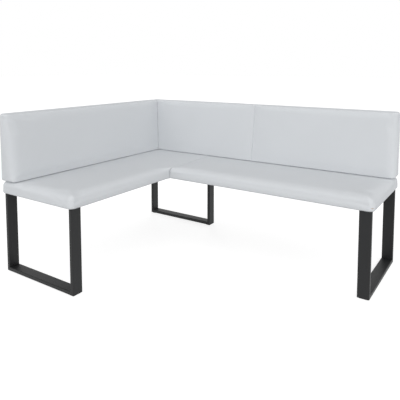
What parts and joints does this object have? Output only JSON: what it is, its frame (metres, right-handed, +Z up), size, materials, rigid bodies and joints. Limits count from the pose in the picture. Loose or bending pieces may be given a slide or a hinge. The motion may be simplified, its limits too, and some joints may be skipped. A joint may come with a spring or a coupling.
{
  "type": "corner bench",
  "caption": "L-shaped upholstered corner bench with wedge backrests on sled legs of flat black tube.",
  "frame": {"origin": "on the floor, under the middle of the bench's box", "axes": "+X along the rear wing to its free end, +Y to the rear of the rear wing, +Z up"},
  "size_m": [1.772, 1.333, 0.873],
  "materials": {
    "upholstery": "smooth pale grey leatherette, satin",
    "dust_cloth": "nonwoven",
    "foam": "open cell foam",
    "board": "raw plywood",
    "rail_timber": "planed pine",
    "black_steel": "black powder coat, fine texture",
    "glide_plastic": "moulded",
    "zinc_steel": "zinc plated"
  },
  "bodies": {
    "root": {"corner_back_bolts": "zinc_steel", "corner_back_inserts": "zinc_steel", "corner_back_washers": "zinc_steel", "corner_leg_bolts": "zinc_steel", "corner_leg_foot_bar": "black_steel", "corner_leg_front_glide": "glide_plastic", "corner_leg_front_post": "black_steel", "corner_leg_plate": "black_steel", "corner_leg_rear_glide": "glide_plastic", "corner_leg_rear_post": "black_steel", "corner_leg_tnuts": "zinc_steel", "front_join_plate": "zinc_steel", "front_join_screws": "zinc_steel", "left_back_bolts": "zinc_steel", "left_back_cover": "upholstery", "left_back_foam": "foam", "left_back_inserts": "zinc_steel", "left_back_lining": "upholstery", "left_back_panel": "board", "left_back_rail": "rail_timber", "left_back_washers": "zinc_steel", "left_leg_bolts": "zinc_steel", "left_leg_foot_bar": "black_steel", "left_leg_front_glide": "glide_plastic", "left_leg_front_post": "black_steel", "left_leg_plate": "black_steel", "left_leg_rear_glide": "glide_plastic", "left_leg_rear_post": "black_steel", "left_leg_tnuts": "zinc_steel", "left_seat_board": "board", "left_seat_cover": "upholstery", "left_seat_dust_cover": "dust_cloth", "left_seat_foam": "foam", "rear_back_bolts": "zinc_steel", "rear_back_cover": "upholstery", "rear_back_foam": "foam", "rear_back_inserts": "zinc_steel", "rear_back_lining": "upholstery", "rear_back_panel": "board", "rear_back_rail": "rail_timber", "rear_back_washers": "zinc_steel", "rear_join_plate": "zinc_steel", "rear_join_screws": "zinc_steel", "rear_seat_board": "board", "rear_seat_cover": "upholstery", "rear_seat_dust_cover": "dust_cloth", "rear_seat_foam": "foam", "right_leg_bolts": "zinc_steel", "right_leg_foot_bar": "black_steel", "right_leg_front_glide": "glide_plastic", "right_leg_front_post": "black_steel", "right_leg_plate": "black_steel", "right_leg_rear_glide": "glide_plastic", "right_leg_rear_post": "black_steel", "right_leg_tnuts": "zinc_steel"}
  },
  "joints": []
}
